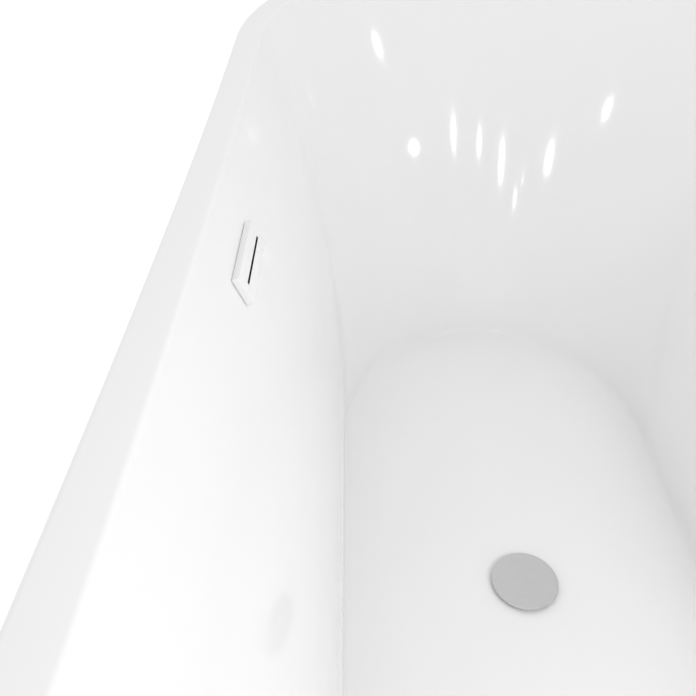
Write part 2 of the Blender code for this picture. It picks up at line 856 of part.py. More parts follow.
def make_hose():
    """The overflow hose: down behind the side wall, then under the floor to the waste."""
    bpy.context.view_layer.update()
    frame = OVERFLOW_AXIS.matrix_world
    top = frame @ Vector((SPIGOT_X, 0, SPIGOT_END - 2 * GAP))
    down = frame.to_3x3() @ Vector((0, 0, -1))
    end = Vector((-INLET_END - GAP, 0, HOSE_Z))
    route = [
        top,
        top + down * 0.012,
        top + down * 0.024,
        top + down * 0.040,
        Vector((-0.274, 0, 0.430)),
        Vector((-0.254, 0, 0.360)),
        Vector((-0.245, 0, 0.280)),
        Vector((-0.241, 0, 0.200)),
        Vector((-0.238, 0, 0.140)),
        Vector((-0.225, 0, 0.096)),
        Vector((-0.190, 0, 0.071)),
        Vector((-0.150, 0, HOSE_Z)),
        end - Vector((0.030, 0, 0)),
        end - Vector((0.015, 0, 0)),
        end,
    ]
    swept("overflow_hose", smooth_route(route, 3), HOSE_R, GREY_PLASTIC)
    inward = Vector((1, 0, 0))
    hose_nut("hose_nut_top", top - down * HOSE_NUT_HALF, top + down * HOSE_NUT_HALF)
    hose_nut("hose_nut_bottom", end - inward * HOSE_NUT_HALF, end + inward * HOSE_NUT_HALF)


# ---------------------------------------------------------------- the whole bath

make_basin()
make_skirt()
make_board()
make_frame()
for end_name, end_sign in ENDS.items():
    for side_name, side_sign in SIDES.items():
        make_foot("foot_" + end_name + "_" + side_name, side_sign * FOOT_X, end_sign * CROSS_Y)
        make_bracket(end_name + "_" + side_name, side_sign, end_sign * CROSS_Y)
make_waste()
make_stopper()
make_overflow()
make_hose()
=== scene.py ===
"""The looks of a freestanding acrylic bath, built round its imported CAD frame.

Metres, +Z up, +Y along the bath, the overflow on the -X side, the waste at the origin's vertical.
"""

import json
import math

import bmesh
import bpy
from mathutils import Matrix, Vector

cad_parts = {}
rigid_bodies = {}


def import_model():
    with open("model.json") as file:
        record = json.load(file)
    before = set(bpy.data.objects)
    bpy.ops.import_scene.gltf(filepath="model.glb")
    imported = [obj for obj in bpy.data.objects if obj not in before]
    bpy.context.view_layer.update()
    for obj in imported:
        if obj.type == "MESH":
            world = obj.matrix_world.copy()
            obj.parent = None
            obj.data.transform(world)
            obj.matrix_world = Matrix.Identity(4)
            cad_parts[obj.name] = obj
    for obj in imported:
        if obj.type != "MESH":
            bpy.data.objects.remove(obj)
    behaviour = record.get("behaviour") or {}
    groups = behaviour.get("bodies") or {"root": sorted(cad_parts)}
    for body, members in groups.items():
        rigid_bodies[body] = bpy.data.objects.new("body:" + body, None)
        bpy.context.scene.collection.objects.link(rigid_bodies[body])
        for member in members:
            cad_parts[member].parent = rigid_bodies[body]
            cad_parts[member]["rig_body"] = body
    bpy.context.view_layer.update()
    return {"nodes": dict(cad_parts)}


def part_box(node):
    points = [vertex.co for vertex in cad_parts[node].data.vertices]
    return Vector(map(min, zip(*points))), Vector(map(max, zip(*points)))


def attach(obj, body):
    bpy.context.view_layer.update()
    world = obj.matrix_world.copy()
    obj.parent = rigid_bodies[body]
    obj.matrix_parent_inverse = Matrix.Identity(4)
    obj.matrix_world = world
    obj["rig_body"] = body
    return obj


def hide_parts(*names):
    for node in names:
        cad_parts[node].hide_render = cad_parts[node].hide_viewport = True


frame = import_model()

# ---------------------------------------------------------------- sizes

_, BASIN_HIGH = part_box("basin_shell")
SKIRT_LOW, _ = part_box("outer_skirt")
BOARD_LOW, BOARD_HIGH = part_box("base_board")
CAP_LOW, CAP_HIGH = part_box("stopper_cap")
FLANGE_LOW, FLANGE_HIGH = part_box("drain_flange")

SHEET = 0.005
GAP = 0.0003
CUT_PAST = 0.01             # how far a cutting rod reaches past the piece
HALF_WIDTH = BASIN_HIGH.x
HALF_LENGTH = BASIN_HIGH.y
FLOOR_Z = BOARD_HIGH.z + SHEET + GAP
END_DEPTH = 0.368
BASIN_DEPTH = 0.4936
END_RISE = 0.036
DECK = 0.030
LIP = 0.018
SEAM = 0.0005

FLOOR_HALF_WIDTH = 0.2125
FLOOR_HALF_LENGTH = 0.4935
FLOOR_END_DEPTH = 0.255
SIDE_FLARE = 2.45
END_FLARE = 1.12
FLOOR_ROUND = 0.012
FLOOR_ROUND_SPAN = 1.15     # the wall starts this many radii above the floor
INNER_EDGE_ROUND = 0.0025
INNER_EDGE_SPAN = 1.4       # and ends this many radii under the rim
OUTER_EDGE_ROUND = 0.0045

SKIRT_BOTTOM = SKIRT_LOW.z
SKIRT_TAPER_SIDE = 0.083
SKIRT_TAPER_END = 0.145
SKIRT_END_DEPTH = 0.300
SKIRT_CURVE = 1.3
SKIRT_LAND = 0.03

DRAIN_HOLE_R = 0.0256
THROAT_R = 0.0250
THROAT_BORE_R = 0.0230
BODY_R = 0.031
BODY_BOTTOM = 0.036
SOCKET_R = 0.0245
TAIL_R = 0.0200
TAIL_BORE_R = 0.0178
TAIL_TOP = 0.058
INLET_END = 0.058
STEM_R = 0.0040
CARRIER_R = 0.0175
GUIDE_RIM = 0.005
GUIDE_TUBE_R = 0.0085
GUIDE_PORT_R = 0.0062
GUIDE_PORT_AT = 0.0165

BOARD_INSET = 0.018
BOARD_HOLE_R = 0.047
TUBE_WALL = 0.002
TUBE_ROUND = 0.003
FOOT_X = 0.200
STUD_R = 0.005
STUD_HOLE_R = 0.0056
THREAD_PITCH = 0.0015
THREAD_DEPTH = 0.0006
NUT_R = 0.0095
SCREW_X = 0.233
SCREW_HOLE_R = 0.0028

HOSE_R = 0.0100
HOSE_BORE_R = 0.0075
HOSE_Z = 0.066
HOSE_NUT_R = 0.0130
RIB_PITCH = 0.006
RIB_DEPTH = 0.0014
RIB_STEPS = 6
HOSE_CUFF = 0.014
HOSE_SIDES = 28

OVERFLOW_AT = 0.8975
OVERFLOW_SPAN = 0.045
PORT_LENGTH = 0.080
PORT_HEIGHT = 0.016
COVER_LENGTH = 0.095
COVER_HEIGHT = 0.026
COVER_BACK = 0.0006
COVER_PROUD = 0.0075
COVER_EDGE = 0.0009
SLOT_LENGTH = 0.0746
SLOT_HEIGHT = 0.0026
LEG_AT = 0.028
LEG_WIDTH = 0.008
LEG_REACH = 0.013
LEG_ROOT = 0.002            # where a leg ends inside the plate
LEG_BOTTOM = 0.0045
LEG_TOP = 0.0065
HOUSING_DEPTH = 0.022
HOUSING_HEIGHT = 0.036
HOUSING_FRONT = -SHEET - 0.0040
SPIGOT_X = HOUSING_FRONT - HOUSING_DEPTH / 2 - 0.0005
SPIGOT_END = -HOUSING_HEIGHT / 2 - 0.020

END_STEPS = 72
SIDE_STEPS = 22
WALL_STEPS = 44
FLOOR_STEPS = 8
SKIRT_STEPS = 36
ARC_STEPS = 6

# ---------------------------------------------------------------- materials


def new_material(name):
    material = bpy.data.materials.new(name)
    material.use_nodes = True
    nodes = material.node_tree.nodes
    return material, nodes, material.node_tree.links, nodes["Principled BSDF"]


def object_coordinates(nodes, links, scale=(1, 1, 1)):
    place = nodes.new("ShaderNodeTexCoord")
    mapping = nodes.new("ShaderNodeMapping")
    mapping.inputs["Scale"].default_value = scale
    links.new(place.outputs["Object"], mapping.inputs["Vector"])
    return mapping.outputs["Vector"]


def noise(nodes, links, vector, scale, detail=4.0, roughness=0.5):
    texture = nodes.new("ShaderNodeTexNoise")
    texture.inputs["Scale"].default_value = scale
    texture.inputs["Detail"].default_value = detail
    texture.inputs["Roughness"].default_value = roughness
    links.new(vector, texture.inputs["Vector"])
    return texture.outputs["Fac"]


def map_range(nodes, links, value, low, high, from_low=0.0, from_high=1.0):
    remap = nodes.new("ShaderNodeMapRange")
    remap.inputs["From Min"].default_value = from_low
    remap.inputs["From Max"].default_value = from_high
    remap.inputs["To Min"].default_value = low
    remap.inputs["To Max"].default_value = high
    links.new(value, remap.inputs["Value"])
    return remap.outputs["Result"]


def ramp_colours(nodes, links, value, low, high, start=0.3, end=0.7):
    ramp = nodes.new("ShaderNodeValToRGB")
    ramp.color_ramp.elements[0].color = (*low, 1)
    ramp.color_ramp.elements[1].color = (*high, 1)
    ramp.color_ramp.elements[0].position = start
    ramp.color_ramp.elements[1].position = end
    links.new(value, ramp.inputs["Fac"])
    return ramp.outputs["Color"]


def bump(nodes, links, height, shader, strength, distance):
    node = nodes.new("ShaderNodeBump")
    node.inputs["Strength"].default_value = strength
    node.inputs["Distance"].default_value = distance
    links.new(height, node.inputs["Height"])
    links.new(node.outputs["Normal"], shader.inputs["Normal"])


def acrylic(name="gloss_acrylic", low=(0.92, 0.92, 0.92), high=(0.935, 0.935, 0.935)):
    """Gloss white sheet: faint clouds, a little wear in the gloss and a formed sheet's slow ripple."""
    material, nodes, links, shader = new_material(name)
    vector = object_coordinates(nodes, links)
    cloud = noise(nodes, links, vector, scale=3.0, detail=3.0)
    links.new(ramp_colours(nodes, links, cloud, low, high), shader.inputs["Base Color"])
    haze = noise(nodes, links, vector, scale=14.0, detail=6.0, roughness=0.6)
    gloss = map_range(nodes, links, haze, low=0.075, high=0.115, from_low=0.3, from_high=0.7)
    links.new(gloss, shader.inputs["Roughness"])
    ripple = noise(nodes, links, vector, scale=22.0, detail=2.0)
    bump(nodes, links, ripple, shader, strength=0.012, distance=0.004)
    shader.inputs["IOR"].default_value = 1.49
    return material


def glass_fibre():
    """The back of a reinforced sheet: off-white resin over chopped strands."""
    material, nodes, links, shader = new_material("glass_fibre_back")
    vector = object_coordinates(nodes, links)
    strands = nodes.new("ShaderNodeTexVoronoi")
    strands.feature = "DISTANCE_TO_EDGE"
    strands.inputs["Scale"].default_value = 120.0
    strands.inputs["Randomness"].default_value = 1.0
    links.new(vector, strands.inputs["Vector"])
    patches = noise(nodes, links, vector, scale=18.0, detail=6.0, roughness=0.65)
    links.new(
        ramp_colours(nodes, links, patches, (0.50, 0.49, 0.44), (0.70, 0.69, 0.65)),
        shader.inputs["Base Color"],
    )
    gloss = map_range(nodes, links, patches, low=0.45, high=0.75, from_low=0.3, from_high=0.7)
    links.new(gloss, shader.inputs["Roughness"])
    bump(nodes, links, strands.outputs["Distance"], shader, strength=0.5, distance=0.0006)
    return material


def moulded_plastic(name, low, high, roughness, grain=900.0):
    """Moulded plastic: fine matt grain with slight colour variation."""
    material, nodes, links, shader = new_material(name)
    vector = object_coordinates(nodes, links)
    tone = noise(nodes, links, vector, scale=30.0)
    links.new(ramp_colours(nodes, links, tone, low, high), shader.inputs["Base Color"])
    fine = noise(nodes, links, vector, grain, detail=2.0)
    links.new(map_range(nodes, links, fine, roughness - 0.05, roughness + 0.08), shader.inputs["Roughness"])
    bump(nodes, links, fine, shader, strength=0.15, distance=0.0002)
    return material


def metal(name, low, high, roughness, brushed=(1, 1, 1), grain=400.0, metallic=1.0):
    """Metal with a stretched grain, for brushing, plating or powder coat."""
    material, nodes, links, shader = new_material(name)
    vector = object_coordinates(nodes, links, brushed)
    fine = noise(nodes, links, vector, grain, detail=5.0, roughness=0.6)
    links.new(ramp_colours(nodes, links, fine, low, high), shader.inputs["Base Color"])
    links.new(map_range(nodes, links, fine, roughness - 0.06, roughness + 0.10), shader.inputs["Roughness"])
    bump(nodes, links, fine, shader, strength=0.12, distance=0.0001)
    shader.inputs["Metallic"].default_value = metallic
    return material


def board():
    """Sealed wood board: stretched grain with darker fibres."""
    material, nodes, links, shader = new_material("sealed_board")
    vector = object_coordinates(nodes, links, scale=(14, 1.2, 14))
    grain = noise(nodes, links, vector, scale=9.0, detail=8.0, roughness=0.6)
    links.new(
        ramp_colours(nodes, links, grain, (0.42, 0.29, 0.17), (0.66, 0.50, 0.33)),
        shader.inputs["Base Color"],
    )
    links.new(map_range(nodes, links, grain, low=0.5, high=0.75), shader.inputs["Roughness"])
    bump(nodes, links, grain, shader, strength=0.35, distance=0.0006)
    return material


ACRYLIC = acrylic()
# The skirt's sheet is the basin's white acrylic painted darker: painted shade on the outer skirt.
SHADED_SKIRT_ACRYLIC = acrylic("gloss_skirt_painted_shade", (0.80, 0.80, 0.80), (0.82, 0.82, 0.82))
COVER_WHITE = acrylic("gloss_cover", (0.91, 0.91, 0.91), (0.925, 0.925, 0.925))
FIBRE = glass_fibre()
SATIN = metal("satin_grey", (0.62, 0.62, 0.62), (0.68, 0.68, 0.68), 0.42, brushed=(1, 30, 1), grain=60.0)
POLISHED = metal("polished_flange", (0.45, 0.45, 0.45), (0.55, 0.55, 0.55), 0.22)
ZINC = metal("zinc_plate", (0.48, 0.49, 0.51), (0.62, 0.62, 0.60), 0.38)
POWDER = metal("powder_coat", (0.018, 0.018, 0.020), (0.035, 0.035, 0.038), 0.45, metallic=0.0)
RUBBER = moulded_plastic("black_rubber", (0.012, 0.012, 0.012), (0.030, 0.030, 0.030), 0.70)
WHITE_PLASTIC = moulded_plastic("white_moulding", (0.70, 0.70, 0.69), (0.78, 0.78, 0.77), 0.40)
GREY_PLASTIC = moulded_plastic("grey_moulding", (0.16, 0.165, 0.17), (0.21, 0.215, 0.22), 0.45)
HOSE = moulded_plastic("hose_plastic", (0.50, 0.51, 0.52), (0.60, 0.61, 0.62), 0.42)
BOARD = board()

# ---------------------------------------------------------------- makers


def finish_piece(piece, slot, *nodes):
    """Puts a finished piece on its nodes' body in place of those CAD nodes; the slot is not used."""
    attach(piece, frame["nodes"][nodes[0]]["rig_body"])
    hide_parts(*nodes)
    return piece


def link_object(name, mesh, *materials):
    piece = bpy.data.objects.new(name, mesh)
    bpy.context.scene.collection.objects.link(piece)
    for material in materials:
        mesh.materials.append(material)
    return piece


def apply_modifiers(piece):
    """The piece's mesh as its modifiers leave it, with nothing live on it."""
    graph = bpy.context.evaluated_depsgraph_get()
    mesh = bpy.data.meshes.new_from_object(piece.evaluated_get(graph), depsgraph=graph)
    piece.modifiers.clear()
    piece.data = mesh
    return mesh


def smooth(piece, degrees=35):
    piece.data.shade_smooth()
    piece.data.set_sharp_from_angle(angle=math.radians(degrees))


def cut(piece, other_mesh, matrix=None, operation="DIFFERENCE"):
    """Cuts a mesh out of a piece, or joins or intersects it, and leaves nothing live."""
    other = bpy.data.objects.new("cutter", other_mesh)
    bpy.context.scene.collection.objects.link(other)
    if matrix is not None:
        other.matrix_world = matrix
    change = piece.modifiers.new("cut", "BOOLEAN")
    change.operation = operation
    change.object = other
    apply_modifiers(piece)
    bpy.data.objects.remove(other, do_unlink=True)


def box_mesh(low, high):
    cage = bmesh.new()
    bmesh.ops.create_cube(cage, size=1.0)
    low = Vector(low)
    high = Vector(high)
    for vertex in cage.verts:
        vertex.co = Vector(a * b for a, b in zip(vertex.co, high - low)) + (high + low) / 2
    mesh = bpy.data.meshes.new("box")
    cage.to_mesh(mesh)
    cage.free()
    return mesh


def rod_mesh(radius, start, end, sides=64):
    start = Vector(start)
    end = Vector(end)
    along = end - start
    cage = bmesh.new()
    bmesh.ops.create_cone(
        cage, cap_ends=True, segments=sides, radius1=radius, radius2=radius, depth=along.length
    )
    turn = Vector((0, 0, 1)).rotation_difference(along).to_matrix()
    bmesh.ops.rotate(cage, verts=cage.verts, matrix=turn)
    bmesh.ops.translate(cage, verts=cage.verts, vec=(start + end) / 2)
    mesh = bpy.data.meshes.new("rod")
    cage.to_mesh(mesh)
    cage.free()
    return mesh


def turned(name, profile, material, location=(0, 0, 0), steps=96, ring=True):
    """A turned piece from (radius, height) points that run down the outside, then up the bore."""
    mesh = bpy.data.meshes.new(name)
    edges = [(i, i + 1) for i in range(len(profile) - 1)]
    if ring:
        edges.append((len(profile) - 1, 0))
    mesh.from_pydata([(radius, 0.0, height) for radius, height in profile], edges, [])
    piece = link_object(name, mesh, material)
    piece.location = location
    screw = piece.modifiers.new("turn", "SCREW")
    screw.axis = "Z"
    screw.angle = 2 * math.pi
    screw.steps = steps
    screw.render_steps = steps
    screw.use_merge_vertices = True
    screw.merge_threshold = 0.00001
    apply_modifiers(piece)
    piece.data.transform(Matrix.Translation(location))
    piece.location = (0, 0, 0)
    smooth(piece)
    return piece


def arc(centre_r, centre_z, radius, start, end, steps=5):
    """(radius, height) points on a quarter-round, angles in degrees from +R towards +Z."""
    points = []
    for step in range(steps + 1):
        angle = math.radians(start + (end - start) * step / steps)
        points.append((centre_r + radius * math.cos(angle), centre_z + radius * math.sin(angle)))
    return points


def loft(name, rings, *materials, centre=None):
    """A skin over closed rings of equally many points, with a middle point inside the first if given."""
    cage = bmesh.new()
    rows = [[cage.verts.new(point) for point in ring] for ring in rings]
    count = len(rows[0])
    for inner, outer in zip(rows, rows[1:]):
        for i in range(count):
            j = (i + 1) % count
            cage.faces.new((inner[i], outer[i], outer[j], inner[j]))
    if centre is not None:
        middle = cage.verts.new(centre)
        for i in range(count):
            cage.faces.new((middle, rows[0][i], rows[0][(i + 1) % count]))
    mesh = bpy.data.meshes.new(name)
    cage.to_mesh(mesh)
    cage.free()
    return link_object(name, mesh, *materials)


def close_ends(piece):
    """Closes the open ends of a lofted piece and points its faces outward."""
    cage = bmesh.new()
    cage.from_mesh(piece.data)
    bmesh.ops.holes_fill(cage, edges=cage.edges)
    bmesh.ops.recalc_face_normals(cage, faces=cage.faces)
    cage.to_mesh(piece.data)
    cage.free()


# ---------------------------------------------------------------- the bath's form


def mix(low, high, share):
    return low + (high - low) * share


def stations():
    """Places round the plan, anticlockwise: (across, along the straight side, into the end)."""
    places = []
    for side in (1, -1):
        for step in range(SIDE_STEPS):
            places.append((side, -side * math.cos(math.pi * step / SIDE_STEPS), 0.0))
        for step in range(END_STEPS):
            angle = math.pi * step / END_STEPS
            places.append((side * math.cos(angle), side, side * math.sin(angle)))
    return places


STATIONS = stations()


def plan_point(station, half_width, half_length, end_depth):
    across, straight, end = station
    return half_width * across, (half_length - end_depth) * straight + end_depth * end


def plan_normal(station, half_width, end_depth):
    across, _, end = station
    return Vector((across / half_width, end / end_depth, 0.0)).normalized()


def rim_height(y):
    return BASIN_DEPTH + END_RISE * (y / HALF_LENGTH) ** 2


def wall_point(station, share):
    """A place on the inner wall; share is 0 at the floor and 1 at the rim."""
    x, y = plan_point(
        station,
        mix(FLOOR_HALF_WIDTH, HALF_WIDTH - DECK, share ** SIDE_FLARE),
        mix(FLOOR_HALF_LENGTH, HALF_LENGTH - DECK, share ** END_FLARE),
        mix(FLOOR_END_DEPTH, END_DEPTH - DECK, share),
    )
    return Vector((x, y, FLOOR_Z + share * rim_height(y)))


def rim_point(station, drop=0.0):
    x, y = plan_point(station, HALF_WIDTH, HALF_LENGTH, END_DEPTH)
    return Vector((x, y, FLOOR_Z + rim_height(y) - drop))


def rounded(before, corner, after, reach):
    start = corner + (before - corner).normalized() * reach
    end = corner + (after - corner).normalized() * reach
    points = []
    for step in range(ARC_STEPS + 1):
        t = step / ARC_STEPS
        points.append(start * (1 - t) ** 2 + corner * (2 * t * (1 - t)) + end * t ** 2)
    return points


def basin_section(station):
    """The basin's upper surface at one station, from the middle of the floor to the lip's edge."""
    corner = wall_point(station, 0.0)
    inward = corner - plan_normal(station, FLOOR_HALF_WIDTH, FLOOR_END_DEPTH)
    first = FLOOR_ROUND / BASIN_DEPTH * FLOOR_ROUND_SPAN
    last = 1 - INNER_EDGE_ROUND / BASIN_DEPTH * INNER_EDGE_SPAN
    walls = [wall_point(station, mix(first, last, step / WALL_STEPS)) for step in range(WALL_STEPS + 1)]
    inner_edge = wall_point(station, 1.0)
    outer_edge = rim_point(station)
    lip_edge = rim_point(station, LIP)
    foot = rounded(inward, corner, walls[0], FLOOR_ROUND)
    centre = Vector((0, 0, FLOOR_Z))
    floor = [centre.lerp(foot[0], step / FLOOR_STEPS) for step in range(1, FLOOR_STEPS)]
    return (
        floor
        + foot
        + walls
        + rounded(walls[-1], inner_edge, outer_edge, INNER_EDGE_ROUND)
        + rounded(inner_edge, outer_edge, lip_edge, OUTER_EDGE_ROUND)
        + [lip_edge]
    )


def skirt_point(station, share):
    """A place on the outer skin; share is 0 at the foot and 1 under the lip."""
    taper = max(0.0, 1 - share / (1 - SKIRT_LAND)) ** SKIRT_CURVE
    x, y = plan_point(
        station,
        HALF_WIDTH - SKIRT_TAPER_SIDE * taper,
        HALF_LENGTH - SKIRT_TAPER_END * taper,
        mix(END_DEPTH, SKIRT_END_DEPTH, taper),
    )
    _, rim_y = plan_point(station, HALF_WIDTH, HALF_LENGTH, END_DEPTH)
    top = FLOOR_Z + rim_height(rim_y) - LIP - SEAM
    return Vector((x, y, mix(SKIRT_BOTTOM, top, share)))


def add_sheet(piece):
    """Gives an open skin its thickness, with the reinforced back as its second material."""
    wall = piece.modifiers.new("sheet", "SOLIDIFY")
    wall.thickness = SHEET
    wall.offset = -1.0
    wall.use_even_offset = True
    wall.use_quality_normals = True
    wall.material_offset = 1
    wall.material_offset_rim = 0
    apply_modifiers(piece)


def overflow_matrix():
    """Axes on the wall at the overflow: X into the bath, Z up the wall."""
    station = (-1, 0.0, 0.0)
    low = wall_point(station, OVERFLOW_AT - OVERFLOW_SPAN)
    high = wall_point(station, OVERFLOW_AT + OVERFLOW_SPAN)
    lean = math.atan2(low.x - high.x, high.z - low.z)
    return Matrix.Translation((low + high) / 2) @ Matrix.Rotation(-lean, 4, "Y")


OVERFLOW = overflow_matrix()


def make_basin():
    """The inner bath with its rim and lip, cut for the waste and the overflow."""
    sections = [basin_section(station) for station in STATIONS]
    rings = [list(ring) for ring in zip(*sections)]
    basin = loft("basin", rings, ACRYLIC, FIBRE, centre=Vector((0, 0, FLOOR_Z)))
    add_sheet(basin)
    cut(basin, rod_mesh(DRAIN_HOLE_R, (0, 0, FLOOR_Z - 0.03), (0, 0, FLOOR_Z + 0.03)))
    port = box_mesh((-0.03, -PORT_LENGTH / 2, -PORT_HEIGHT / 2), (0.03, PORT_LENGTH / 2, PORT_HEIGHT / 2))
    cut(basin, port, OVERFLOW)
    smooth(basin, 40)
    return finish_piece(basin, "acrylic", "basin_shell")


def make_skin():
    """The outer skirt, from its land under the lip down to the foot."""
    shares = [1 - SKIRT_LAND * step / 2 for step in range(2)]
    shares += [(1 - SKIRT_LAND) * (1 - step / SKIRT_STEPS) for step in range(SKIRT_STEPS + 1)]
    rings = [[skirt_point(station, share) for station in STATIONS] for share in shares]
    skin = loft("outer_skin", rings, SHADED_SKIRT_ACRYLIC, FIBRE)
    add_sheet(skin)
    smooth(skin, 40)
    return finish_piece(skin, "acrylic", "outer_skirt")


# ---------------------------------------------------------------- overflow cover


def bevelled(name, low, high, material, width, segments=4):
    """A block between two corners with rounded edges."""
    block = link_object(name, box_mesh(low, high), material)
    edges = block.modifiers.new("edges", "BEVEL")
    edges.width = width
    edges.segments = segments
    edges.limit_method = "ANGLE"
    apply_modifiers(block)
    return block


def make_overflow_cover():
    """A raised oblong plate with soft edges, a thin slot whose sides are painted black as painted shade,
    and two legs into the port.
    """
    low = (COVER_BACK, -COVER_LENGTH / 2, -COVER_HEIGHT / 2)
    high = (COVER_PROUD, COVER_LENGTH / 2, COVER_HEIGHT / 2)
    plate = bevelled("overflow_plate", low, high, COVER_WHITE, COVER_EDGE)
    for sign in (-1, 1):
        start = (-LEG_REACH, sign * LEG_AT - LEG_WIDTH / 2, LEG_BOTTOM)
        end = (LEG_ROOT, sign * LEG_AT + LEG_WIDTH / 2, LEG_TOP)
        cut(plate, box_mesh(start, end), operation="UNION")
    half = SLOT_LENGTH / 2
    cut(plate, box_mesh((-0.02, -half, -SLOT_HEIGHT / 2), (0.02, half, SLOT_HEIGHT / 2)))
    # The slot's sides take the black rubber: painted shade inside the slot.
    plate.data.materials.append(RUBBER)
    for face in plate.data.polygons:
        across = abs(face.normal.x) < 0.5
        in_slot = abs(face.center.y) < half + GAP and abs(face.center.z) < SLOT_HEIGHT / 2 + GAP
        if across and in_slot:
            face.material_index = 1
    plate.data.transform(OVERFLOW)
    smooth(plate, 30)
    return finish_piece(plate, "overflow_cover", "overflow_cover")


# ---------------------------------------------------------------- waste


def make_stopper_cap():
    radius = CAP_HIGH.x
    top = CAP_HIGH.z
    bottom = CAP_LOW.z
    edge = 0.0009
    profile = (
        [(0.0, top)]
        + [(radius * share, top) for share in (0.25, 0.5, 0.75, 0.9)]
        + list(reversed(arc(radius - edge, top - edge, edge, 0, 90)))
        + [(radius, bottom + 0.0005), (radius - 0.0005, bottom), (0.0, bottom)]
    )
    cap = turned("waste_cover", profile, SATIN, steps=128, ring=False)
    return finish_piece(cap, "stopper_cap", "stopper_cap")


def make_flange():
    top = FLANGE_HIGH.z
    seat = top - 0.0018
    radius = FLANGE_HIGH.x
    profile = (
        [(THROAT_BORE_R + 0.003, top)]
        + list(reversed(arc(radius - 0.0008, top - 0.0008, 0.0008, 0, 90)))
        + [
            (radius, seat),
            (THROAT_R, seat),
            (THROAT_R, FLANGE_LOW.z),
            (THROAT_BORE_R, FLANGE_LOW.z),
            (THROAT_BORE_R, top - 0.0028),
        ]
    )
    flange = turned("waste_flange", profile, POLISHED)
    return finish_piece(flange, "drain_flange", "drain_flange")


def ring_profile(outer, inner, top, bottom, edge=0.0004):
    """A ring's section with small chamfers on its outer edges."""
    return [
        (outer - edge, top),
        (outer, top - edge),
        (outer, bottom + edge),
        (outer - edge, bottom),
        (inner, bottom),
        (inner, top),
    ]


def make_seals():
    for node, inner in (
        ("drain_gasket", DRAIN_HOLE_R),
        ("drain_washer", DRAIN_HOLE_R),
        ("stopper_seal", CARRIER_R + GAP),
    ):
        low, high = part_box(node)
        seal = turned(node + "_ring", ring_profile(high.x, inner, high.z, low.z), RUBBER)
        finish_piece(seal, "rubber", node)


def make_waste_body():
    """The trap body under the floor, with the hose inlet on its side."""
    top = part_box("drain_body")[1].z
    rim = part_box("drain_washer")[1].x
    profile = [
        (rim, top),
        (rim, top - 0.0030),
        (rim - 0.0010, top - 0.0040),
        (BODY_R, top - 0.008),
        (BODY_R, BODY_BOTTOM + 0.016),
        (SOCKET_R, BODY_BOTTOM + 0.010),
        (SOCKET_R, BODY_BOTTOM),
        (TAIL_R + GAP, BODY_BOTTOM),
        (TAIL_R + GAP, TAIL_TOP + GAP),
        (TAIL_BORE_R, TAIL_TOP + GAP),
        (TAIL_BORE_R, TAIL_TOP + 0.003),
        (DRAIN_HOLE_R, TAIL_TOP + 0.010),
        (DRAIN_HOLE_R, top),
    ]
    body = turned("waste_body", profile, GREY_PLASTIC)
    start = (-INLET_END, 0, HOSE_Z)
    cut(body, rod_mesh(HOSE_R, start, (-BODY_R + 0.003, 0, HOSE_Z), 48), operation="UNION")
    cut(body, rod_mesh(HOSE_BORE_R, (-INLET_END - CUT_PAST, 0, HOSE_Z), (-0.012, 0, HOSE_Z), 48))
    smooth(body)
    finish_piece(body, "grey_plastic", "drain_body")


def ribbed_ring(name, outer, inner, low, high, material, lugs, groove=0.0006):
    """A hand nut: a ring with soft edges and grooves round its grip."""
    edge = 0.0010
    nut = turned(name, ring_profile(outer, inner, high, low, edge), material, steps=lugs * 4)
    for vertex in nut.data.vertices:
        place = vertex.co
        if math.hypot(place.x, place.y) > outer - edge / 2:
            wave = math.cos(lugs * math.atan2(place.y, place.x))
            share = groove * (1 - wave) / 2 / outer
            vertex.co = (place.x * (1 - share), place.y * (1 - share), place.z)
    smooth(nut, 50)
    return nut


def make_tail():
    low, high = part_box("waste_tail")
    edge = 0.0006
    profile = [
        (TAIL_R, high.z),
        (TAIL_R, low.z + edge),
        (TAIL_R - edge, low.z),
        (TAIL_BORE_R, low.z),
        (TAIL_BORE_R, high.z),
    ]
    finish_piece(turned("waste_pipe", profile, GREY_PLASTIC), "grey_plastic", "waste_tail")
    low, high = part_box("tail_nut")
    nut = ribbed_ring("waste_nut", high.x, SOCKET_R + GAP, low.z + 0.006, high.z, GREY_PLASTIC, 24)
    lip = rod_mesh(high.x - 0.001, (0, 0, low.z), (0, 0, low.z + 0.0065), 96)
    cut(nut, lip, operation="UNION")
    cut(nut, rod_mesh(TAIL_R + GAP, (0, 0, low.z - CUT_PAST), (0, 0, low.z + 0.02), 96))
    smooth(nut)
    finish_piece(nut, "grey_plastic", "tail_nut")


def make_stopper_stem():
    low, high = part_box("stopper_stem")
    seat = FLOOR_Z - 0.001
    profile = [
        (0.0, high.z),
        (0.0078, high.z),
        (0.0080, high.z - 0.0002),
        (0.0080, seat),
        (CARRIER_R - 0.0004, seat),
        (CARRIER_R, seat - 0.0004),
        (CARRIER_R, seat - 0.0040),
        (STEM_R + 0.001, seat - 0.0048),
        (STEM_R, seat - 0.0060),
        (STEM_R, low.z + 0.0010),
        (STEM_R - 0.0010, low.z),
        (0.0, low.z),
    ]
    stem = turned("waste_stem", profile, WHITE_PLASTIC, steps=64, ring=False)
    finish_piece(stem, "white_plastic", "stopper_stem")


